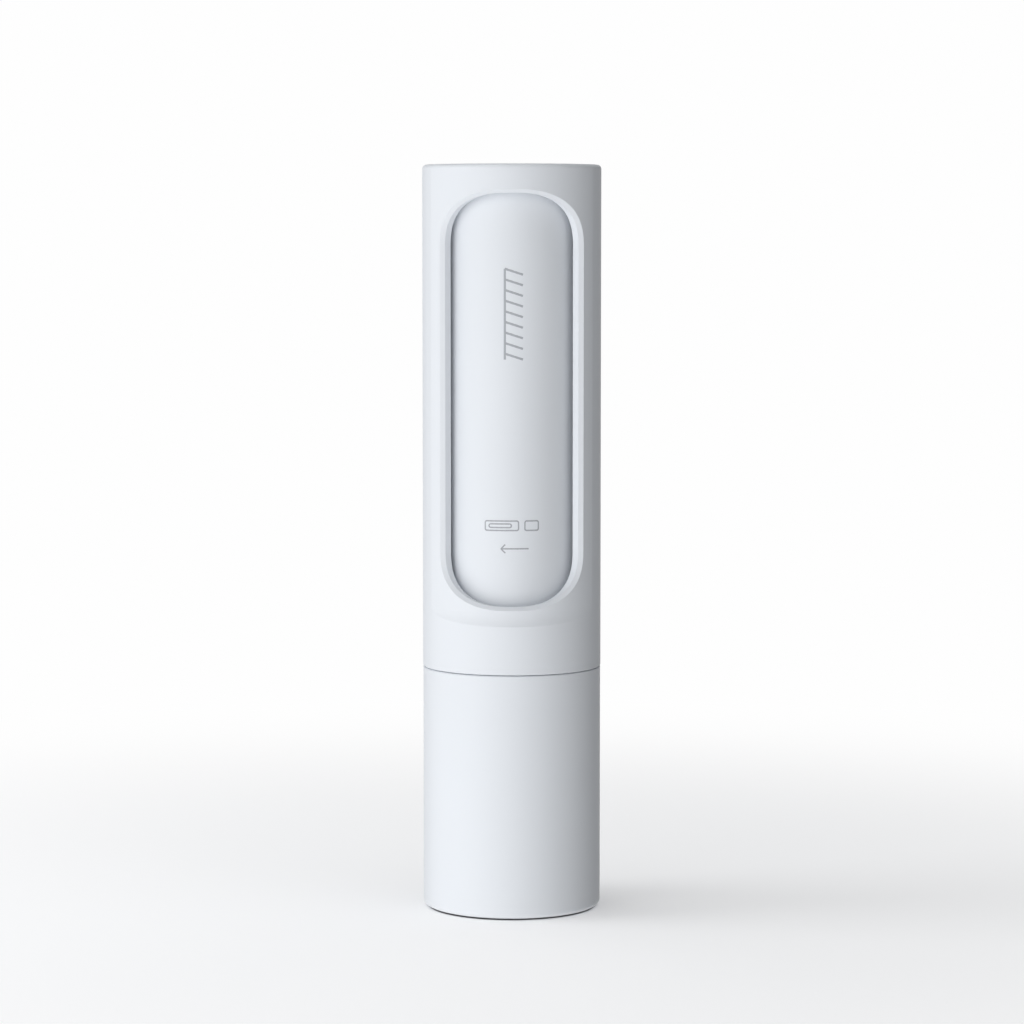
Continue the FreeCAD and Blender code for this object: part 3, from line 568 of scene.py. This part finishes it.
def makeWipers():
    low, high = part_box("wiper_left")
    middle = (low.z + high.z) / 2
    height = high.z - low.z
    width = math.radians(2 * wiper["halfSpread"]) * wiper["floor"] * wiper["snug"]
    felt = feltFinish("wiperFelt", wiper["tone"])
    # the fuzz's roots take painted shade, 0.8 of the felt's tone, brightening to the felt's own tone at
    # the tips
    fuzz = pileFinish("wiperFuzz", shaded(wiper["tone"], 0.8), wiper["tone"], wiper["toneSpread"])
    for number, (name, side) in enumerate((("Left", -1), ("Right", 1))):
        facing = front + side * math.radians(wiper["turn"])
        bm = bmesh.new()
        bmesh.ops.create_cube(bm, size=1.0)
        bmesh.ops.scale(bm, vec=(width, height - 2 * wiper["slack"], wiper["body"]), verts=bm.verts)
        bmesh.ops.translate(bm, vec=(0, 0, wiper["body"] / 2), verts=bm.verts)
        rims = [e for e in bm.edges if min(v.co.z for v in e.verts) > wiper["body"] / 2]
        bmesh.ops.bevel(bm, geom=rims, offset=wiper["edge"], segments=3, profile=0.5, affect="EDGES",
                        material=-1)
        long = [e for e in bm.edges if abs(e.verts[0].co.y - e.verts[1].co.y) > height / 2]
        bmesh.ops.subdivide_edges(bm, edges=long, cuts=wiper["cuts"][1])
        wide = [e for e in bm.edges if abs(e.verts[0].co.x - e.verts[1].co.x) > width / 2]
        bmesh.ops.subdivide_edges(bm, edges=wide, cuts=wiper["cuts"][0])
        mesh = bpy.data.meshes.new("wiperStrip" + name)
        bm.to_mesh(mesh)
        bm.free()
        wrapRound(mesh, wiper["floor"], facing, middle, -1)
        strip = addObject("wiperStrip" + name, mesh)
        mesh.materials.append(felt)
        spec = dict(wiper["nap"])
        spec["seed"] += number
        spec["width"] = width - wiper["margin"][0]
        spec["height"] = height - wiper["margin"][1]
        pile = nap("wiperFuzz" + name, spec, wiper["floor"] - wiper["body"], facing, middle, -1)
        pile.data.materials.append(fuzz)
        for piece in (strip, pile):
            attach(piece, "case")
        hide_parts("wiper_" + name.lower())
    print("wipers: two felt strips")


makeWipers()


# Where the strokes run is in plain millimetres, x to the right and z up
marks = {
    "ink": 0.03 * mm,           # how far the print stands up
    "upper": {"stroke": 0.5 * mm, "left": -1.55, "right": 2.45, "top": 144.05, "bottom": 124.15,
              "bristles": 9, "droop": 1.3, "tone": (0.46, 0.48, 0.525)},
    "lower": {"stroke": 0.32 * mm, "height": 87.5, "tone": (0.43, 0.445, 0.485),
              # each box has its left, its right, half its height and its corner's radius
              "boxes": ((-6.0, 1.5, 1.05, 0.4), (-5.1, -0.1, 0.4, 0.39), (2.9, 6.0, 1.05, 0.4))},
    "arrow": {"stroke": 0.32 * mm, "height": 82.4, "left": -2.4, "right": 3.75, "head": 0.95,
              "tone": (0.43, 0.445, 0.485)},
}


def inkFinish(name, tone):
    # Pad-printed ink, a little broken up by the grain under it
    finish = Finish(name)
    speck = finish.noise(0.1 * mm, 2.0)
    finish.feed(Base_Color=finish.blend(speck, shaded(tone, 0.92), tone), Roughness=speck * 0.1 + 0.42,
                Normal=finish.bump(speck, 0.002 * mm, 0.4))
    return finish.owner


def roundedBox(left, right, low, high, corner, steps=6):
    spots = []
    for cx, cy, start in ((right - corner, high - corner, 0), (left + corner, high - corner, 90),
                          (left + corner, low + corner, 180), (right - corner, low + corner, 270)):
        for step in range(steps + 1):
            turn = math.radians(start + 90 * step / steps)
            spots.append((cx + corner * math.cos(turn), cy + corner * math.sin(turn)))
    return spots


def stepped(spots, step=0.4):
    # Points every little way along a stroke, so that it follows the round of the cover
    along = [spots[0]]
    for (x0, z0), (x1, z1) in zip(spots, spots[1:]):
        count = max(1, math.ceil(math.hypot(x1 - x0, z1 - z0) / step))
        along += [(x0 + (x1 - x0) * k / count, z0 + (z1 - z0) * k / count) for k in range(1, count + 1)]
    return along


def printMark(name, strokes, width, tone):
    # Each stroke is a list of (x, z) in millimetres, and True if it runs back to its start
    curve = bpy.data.curves.new(name, "CURVE")
    curve.dimensions = "3D"
    curve.bevel_depth = width / 2
    curve.bevel_resolution = 2
    curve.use_fill_caps = True
    for spots, closed in strokes:
        spots = stepped(spots + spots[:1] if closed else spots)
        line = curve.splines.new("POLY")
        line.points.add(len(spots) - 1)
        for point, (x, z) in zip(line.points, spots):
            point.co = (x * mm, z * mm, 0, 1)
    mesh = frozen(addObject(name + "Line", curve))
    surface = -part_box("blank_cover")[0].y
    for vertex in mesh.vertices:
        vertex.co.z *= marks["ink"] / (width / 2)
    wrapRound(mesh, surface, front, 0)
    piece = addObject(name, mesh)
    mesh.materials.append(inkFinish(name + "Ink", tone))
    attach(piece, "drum")


def makeMarks():
    upper = marks["upper"]
    strokes = [([(upper["left"], upper["top"]), (upper["left"], upper["bottom"])], False)]
    span = upper["top"] - upper["bottom"] - upper["droop"]
    for count in range(upper["bristles"]):
        z = upper["top"] - span * count / (upper["bristles"] - 1)
        strokes.append(([(upper["left"], z), (upper["right"], z - upper["droop"])], False))
    printMark("brushMark", strokes, upper["stroke"], upper["tone"])
    lower = marks["lower"]
    z = lower["height"]
    strokes = [(roundedBox(left, right, z - half, z + half, corner), True)
               for left, right, half, corner in lower["boxes"]]
    printMark("takeApartMark", strokes, lower["stroke"], lower["tone"])
    arrow = marks["arrow"]
    z, tip, head = arrow["height"], arrow["left"], arrow["head"]
    strokes = [([(tip, z), (arrow["right"], z)], False),
               ([(tip + head, z + head), (tip, z), (tip + head, z - head)], False)]
    printMark("turnMark", strokes, arrow["stroke"], arrow["tone"])
    print("marks: three printed signs on the cover")


makeMarks()

print("done")
